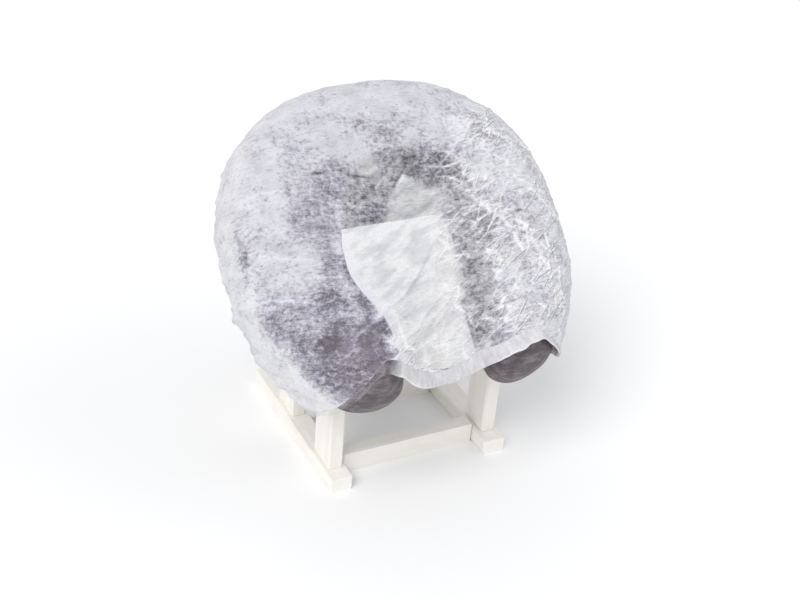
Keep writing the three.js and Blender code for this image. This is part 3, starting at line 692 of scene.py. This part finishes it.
def crinkle_lines():
    """Short sharp creases over the right side of the cover, in the same form as CREASES."""
    random = np.random.default_rng(CRINKLE_SEED)
    lines = []
    while len(lines) < CRINKLES:
        x, y = random.uniform(*CRINKLE_ACROSS), random.uniform(*CRINKLE_ALONG)
        if x < CRINKLE_EDGE + CRINKLE_SPREAD * random.standard_normal() - 0.1 * y:
            continue
        degrees = random.normal(18, 16) + (20 if y < -40 else 0)
        length = random.uniform(10, 34)
        dx, dy = length / 2 * math.cos(math.radians(degrees)), length / 2 * math.sin(math.radians(degrees))
        half, height = random.uniform(0.9, 1.6), random.uniform(0.4, 1.3)
        lines.append((x - dx, y - dy, x + dx, y + dy, half, height, random.uniform(0, 0.12)))
    return lines


def fold_height(x, y):
    """The main folds' height over the front."""
    height = 0
    for x0, y0, x1, y1, share in FOLDS:
        ax, ay = x0 * HALF_WIDTH, y0 * HALF_LENGTH
        dx, dy = x1 * HALF_WIDTH - ax, y1 * HALF_LENGTH - ay
        length = math.hypot(dx, dy)
        t = np.clip(((x - ax) * dx + (y - ay) * dy) / length**2, 0, 1)
        aside = np.abs((x - ax) * dy - (y - ay) * dx) / length
        shape = 0.55 * np.exp(-((aside / (0.8 * FOLD_HALF_WIDTH)) ** 2)) + 0.45 * np.exp(-aside / 4.5)
        height = height + share * np.sin(np.pi * t) * shape
    return FOLD_HEIGHT * height


def cover_relief(x, y, base, angle, share):
    """How far the outer face stands off its usual place, and how white or dark the creases on it are."""
    turn, pleat = np.radians(angle), pleat_at(angle)
    right = smoothstep(x + 0.15 * y, 5, 70)
    loose = slack_at(angle) * smoothstep(share, 0.35, 0.6)
    height = fold_height(base[..., 0], base[..., 1]) * (1 - smoothstep(share, CREST_SHARE, SIDE_SHARE))

    wave = np.cos(turn * PLEATS + 1.3 * noise(x / 30, y / 30, 4))
    fine = np.cos(turn * PLEATS * 3 + 2.4 * noise(x / 18, y / 18, 5))
    height += PLEAT_HEIGHT * pleat * smoothstep(share, GATHER_SHARE, 1) * (0.5 + 0.5 * wave)
    height += FINE_PLEAT_HEIGHT * pleat * smoothstep(share, 0.52, 0.95) * fine
    height += 0.9 * fractal(x / 45, y / 45, 2, 11) + 0.35 * fractal(x / 14, y / 14, 3, 21)
    height += SLACK_HEIGHT * loose * fractal(x / 26, y / 26, 3, 31)

    small = 0.55 * ridges(x, y, 16, 19, 6.5, 41) + 0.45 * ridges(x, y, 34, 15, 6, 43)
    cross = 0.4 * ridges(x, y, -38, 22, 9, 45, 0.2)
    left = ridges(x, y, -12, 34, 8, 47, 0.16) * fractal(x / 30, y / 30, 2, 49).clip(0, 1)
    height += RIDGE_HEIGHT * (right * (small + cross) + (1 - right) * left) - 0.1 * right

    # Painted light and shade along the creases: raised ones are drawn whiter, partly the doubled fabric and
    # partly a painted highlight, and sunken ones darker, a painted shade.
    crease = np.zeros_like(x)
    for one in CREASES + crinkle_lines():
        shape = line(x, y, one)
        height += one[5] * shape
        crease += one[6] * shape * 0.55
    return np.maximum(height, -SKIN), np.clip(crease, -0.55, 0.75)


def above_hole(away, share):
    """1 where the fabric spans the hole, clear of the cushion, and 0 where it lies on it."""
    return smoothstep(away, 4, 11) * (share < CREST_SHARE)


def cover_looks(x, y, base, away, share):
    """What the fabric's material reads at each point.

    opacity: how opaque it is. thin: how closely it lies on something dark. backed: where the cushion is right
    behind it. crinkle and folds: how much of the fine and of the wide relief shows.
    """
    ragged = 0.5 * fractal(x / 16, y / 16, 4, 61)
    thin = np.zeros_like(x)
    for px, py, along, across, degrees, strength in PATCHES:
        u, v = turned(base[..., 0] - px * HALF_WIDTH, base[..., 1] - py * HALF_LENGTH, degrees)
        reach = np.hypot(u / along, v / across) + 0.45 * ragged
        thin += strength * (1 - smoothstep(reach, 0.3, 1.3))
    over_hole = above_hole(away, share)
    loose = np.maximum(smoothstep(away, 14, 20), smoothstep(share, 0.5, 0.62) * smoothstep(away, 5, 9))
    loose *= share > CREST_SHARE
    rim, side = smoothstep(share, 0.44, 0.6), smoothstep(share, 0.4, 0.62)
    cloud = fractal(x / 38, y / 38, 4, 71)
    empty = over_hole * (1 - smoothstep(thin, 0.05, 0.35))

    beside = x - np.interp(y, *np.array(CRINKLED_FROM).T) + 10 * noise(x / 25, y / 25, 83)
    crinkled = smoothstep(beside, -12, 22) * (0.85 + 0.5 * fractal(x / 30, y / 30, 2, 81)).clip(0.3, 1.2)
    lifted = crinkled * (0.55 + 0.6 * fractal(x / 24, y / 24, 2, 85)).clip(0, 0.9)
    return {
        "opacity": 0.86 - 0.08 * over_hole + 0.06 * rim + 0.04 * cloud + 0.09 * crinkled * (1 - over_hole),
        "thin": (thin + 0.13 + 0.2 * cloud - 0.1 * rim) * (1 - loose) - 0.4 * empty,
        "backed": (1 - over_hole) * (1 - 0.7 * rim) * (1 - lifted),
        # crinkle also sets the painted highlight on the ridges, and folds less crinkle sets the painted shade
        # in the hanging folds.
        "crinkle": crinkled * (1 - 0.55 * over_hole) * (1 - 0.72 * side),
        "folds": np.maximum(crinkled * (1 - 0.45 * side), 0.9 * over_hole),
    }


def make_cover(cushion):
    """The fabric from its middle to the hem, as a square grid wrapped onto a disc."""
    angle, ring = cover_grid(COVER_GRID)
    shares, lengths = ring_tables(COVER_GRID // 2)
    share, length = from_table(shares, angle, ring), from_table(lengths, angle, ring)
    base = fabric(angle, share)
    normal = normals_of(base)
    if normal[COVER_GRID // 2, COVER_GRID // 2, 2] < 0:
        normal = -normal
    turn = np.radians(angle)
    x, y = length * np.sin(turn), length * np.cos(turn)
    height, crease = cover_relief(x, y, base, angle, share)
    points = base + normal * (SKIN + height)[..., None]

    cover = mesh_piece("cover_fabric", points.reshape(-1, 3), grid_faces(COVER_GRID + 1, COVER_GRID + 1))
    bpy.context.view_layer.update()
    middle = cover.data.polygons[len(cover.data.polygons) // 2]
    if middle.normal.dot(Vector((0, -math.sin(SLOPE), math.cos(SLOPE)))) < 0:
        cover.data.flip_normals()

    tree = BVHTree.FromObject(cushion, bpy.context.evaluated_depsgraph_get())
    away = np.array([tree.find_nearest(v.co)[3] for v in cover.data.vertices]) / MM
    away = away.reshape(x.shape) - height.clip(0)
    for name, values in cover_looks(x, y, base, away, share).items():
        store(cover, name, values.ravel())
    store(cover, "crease", crease.ravel())
    store(cover, "flat", np.stack([x, y, np.zeros_like(x)], -1).reshape(-1, 3) * MM)
    cover.data.materials.append(fabric_material())
    return cover


cover = make_cover(cushion)

# Elastic hem

HEM_STEPS, HEM_ROUND = 1440, 14
# It is a little wider than the CAD ring, starts tucked under the cover's edge and stands off it.
HEM_SPARE, HEM_TUCK, HEM_HALF_THICKNESS, HEM_LIFT, HEM_FLUTE = 0.8, 1.8, 0.95, 0.7, 0.8


def make_hem():
    """A flat gathered ring that goes on from the cover's own edge."""
    angle = np.arange(HEM_STEPS) / HEM_STEPS * 360 - 180
    reach = reach_at(angle)
    edge, before = fabric(angle, reach), fabric(angle, reach - 0.02)
    onward = edge - before
    onward /= np.linalg.norm(onward, axis=1, keepdims=True)
    around = np.roll(edge, -1, 0) - np.roll(edge, 1, 0)
    normal = np.cross(onward, around)
    normal /= np.linalg.norm(normal, axis=1, keepdims=True)
    if normal[HEM_STEPS // 2, 2] > 0:
        normal = -normal
    walked = np.concatenate([[0], np.cumsum(np.linalg.norm(np.diff(edge, axis=0), axis=1))])
    total = walked[-1] + np.linalg.norm(edge[0] - edge[-1])

    def wave(count, shift, rough):
        """About this many uneven waves along the hem."""
        turn = 2 * np.pi * walked / total
        slow, fast = np.sin(turn * (count // 5) + shift), np.sin(turn * (count // 3 + 2) + 2 * shift)
        return np.sin(turn * count + rough * (slow + fast))

    gather = 0.5 * wave(64, 1.0, 1.9) + 0.35 * wave(110, 2.0, 1.6)
    scallop = 1.6 * wave(38, 3.0, 1.8)
    beta = 2 * np.pi * np.arange(HEM_ROUND) / HEM_ROUND
    half = HEM_WIDTH / 2 + HEM_SPARE
    across = (half + 0.35 * scallop)[:, None] * rounded(np.cos(beta), 3)[None, :] + HEM_GAP + half - HEM_TUCK
    flute = gather[:, None] * (0.55 + 0.45 * np.cos(beta))[None, :]
    ripple = 0.2 * wave(200, 4.0, 1.7)[:, None] * np.sin(2 * beta)[None, :]
    out = HEM_HALF_THICKNESS * rounded(np.sin(beta), 3)[None, :] + HEM_FLUTE * flute + ripple + HEM_LIFT
    points = edge[:, None] + onward[:, None] * across[..., None] + normal[:, None] * out[..., None]
    hem = mesh_piece("hem_elastic", points.reshape(-1, 3), grid_faces(HEM_STEPS, HEM_ROUND, True, True))
    flat = np.stack(np.broadcast_arrays(walked[:, None], across, 0 * out), -1)
    store(hem, "flat", flat.reshape(-1, 3) * MM)
    on_left_lobe = smoothstep(angle, -158, -152) * (1 - smoothstep(angle, -143, -138))
    on_right_lobe = smoothstep(angle, 146, 152) * (1 - smoothstep(angle, 163, 168))
    in_gap = smoothstep(np.abs(angle), 163, 169)
    opacity = 0.78 - 0.72 * on_left_lobe + 0.14 * on_right_lobe
    # Painted highlight along the hem's rolled outer edge, strong on the right lobe and faint on the left lobe
    # and in the gap; it is stored as rim.
    rim = smoothstep(np.cos(beta), 0.55, 0.95)
    painted_edge_highlight = 0.5 - 0.4 * on_left_lobe + 0.5 * on_right_lobe - 0.3 * in_gap
    store(hem, "opacity", np.repeat(opacity, HEM_ROUND))
    store(hem, "rim", (painted_edge_highlight[:, None] * rim[None, :]).ravel())
    hem.data.materials.append(hem_material())
    return hem


hem = make_hem()

# How the pieces go with the frame

for piece, node, slot in (
    (cushion, "cushion", "cushion_vinyl"),
    (cover, "cover_shell", "cover_fabric"),
    (hem, "elastic_hem", "elastic_hem"),
):
    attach(piece, "root")
    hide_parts(node)
    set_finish(piece, slot)

woods = {axis: wood_material(f"cream_wood_{'xyz'[axis]}", axis) for axis in range(3)}
plate = plate_material()
for name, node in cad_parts.items():
    if name in ("cushion", "cover_shell", "elastic_hem"):
        continue
    low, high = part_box(name)
    size = high - low
    axis = max(range(3), key=lambda i: size[i])
    material = plate if name == "support_plate" else woods[axis]
    node.data.materials.clear()
    node.data.materials.append(material)
    if not node.get("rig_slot"):
        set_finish(node, "plate_cloth" if name == "support_plate" else "stand_wood")

# Floor, light and camera

FLOOR_HALF = 6.0


def make_floor():
    data = bpy.data.meshes.new("floor")
    signs = [(-1, -1), (1, -1), (1, 1), (-1, 1)]
    data.from_pydata([(x * FLOOR_HALF, y * FLOOR_HALF, 0) for x, y in signs], [], [(0, 1, 2, 3)])
    floor = bpy.data.objects.new("floor", data)
    bpy.context.scene.collection.objects.link(floor)
    n = Nodes("pale_floor")
    n.set(Base_Color=(0.95, 0.955, 0.96, 1), Roughness=0.9, Specular_IOR_Level=0.1)
    floor.data.materials.append(n.material)


def sun(name, azimuth, elevation, strength, angle, colour):
    """A soft far lamp, from degrees round the object, where 0 is the front, and degrees up."""
    data = bpy.data.lights.new(name, "SUN")
    data.energy, data.angle, data.color = strength, math.radians(angle), colour
    light = bpy.data.objects.new(name, data)
    turn, rise = math.radians(azimuth), math.radians(elevation)
    toward = Vector((math.sin(turn) * math.cos(rise), -math.cos(turn) * math.cos(rise), math.sin(rise)))
    light.rotation_euler = toward.to_track_quat("Z", "Y").to_euler()
    bpy.context.scene.collection.objects.link(light)


make_floor()
sun("key", -55, 48, 1.6, 35, (1.0, 0.99, 0.98))
sun("fill", 60, 40, 0.3, 40, (0.95, 0.97, 1.0))
world = bpy.data.worlds.new("studio")
world.use_nodes = True
world.node_tree.nodes["Background"].inputs["Color"].default_value = (0.98, 0.985, 1.0, 1)
world.node_tree.nodes["Background"].inputs["Strength"].default_value = 0.66
bpy.context.scene.world = world
bpy.context.scene.view_settings.view_transform = "Standard"

PHOTO_WIDTH, PHOTO_HEIGHT, SENSOR_MM = 800, 600, 36
AZIMUTH, ELEVATION, ROLL = (math.radians(v) for v in (-29, 31, 5))
FOCAL_PIXELS, DISTANCE, PIXEL_MM = 1300, 1121.9, 0.863
TARGET, TARGET_PIXEL = CENTRE + (-6.02, -22.37, 5), (396, 251)


def make_camera():
    """The photograph's camera: TARGET shows at TARGET_PIXEL of its frame."""
    data = bpy.data.cameras.new("camera")
    data.sensor_width = SENSOR_MM
    data.lens = FOCAL_PIXELS * SENSOR_MM / PHOTO_WIDTH
    camera = bpy.data.objects.new("camera", data)
    bpy.context.scene.collection.objects.link(camera)
    level_share = math.cos(ELEVATION)
    back = Vector((math.sin(AZIMUTH) * level_share, -math.cos(AZIMUTH) * level_share, math.sin(ELEVATION)))
    level = (-back).cross(Vector((0, 0, 1))).normalized()
    rise = level.cross(-back)
    right = level * math.cos(ROLL) + rise * math.sin(ROLL)
    up = rise * math.cos(ROLL) - level * math.sin(ROLL)
    off_x = (TARGET_PIXEL[0] - PHOTO_WIDTH / 2) * PIXEL_MM
    off_y = (TARGET_PIXEL[1] - PHOTO_HEIGHT / 2) * PIXEL_MM
    place = (Vector(TARGET) + back * DISTANCE - right * off_x + up * off_y) * MM
    camera.matrix_world = Matrix.Translation(place) @ Matrix((right, up, back)).transposed().to_4x4()
    data.clip_start, data.clip_end = 0.05, 50
    bpy.context.scene.camera = camera


make_camera()
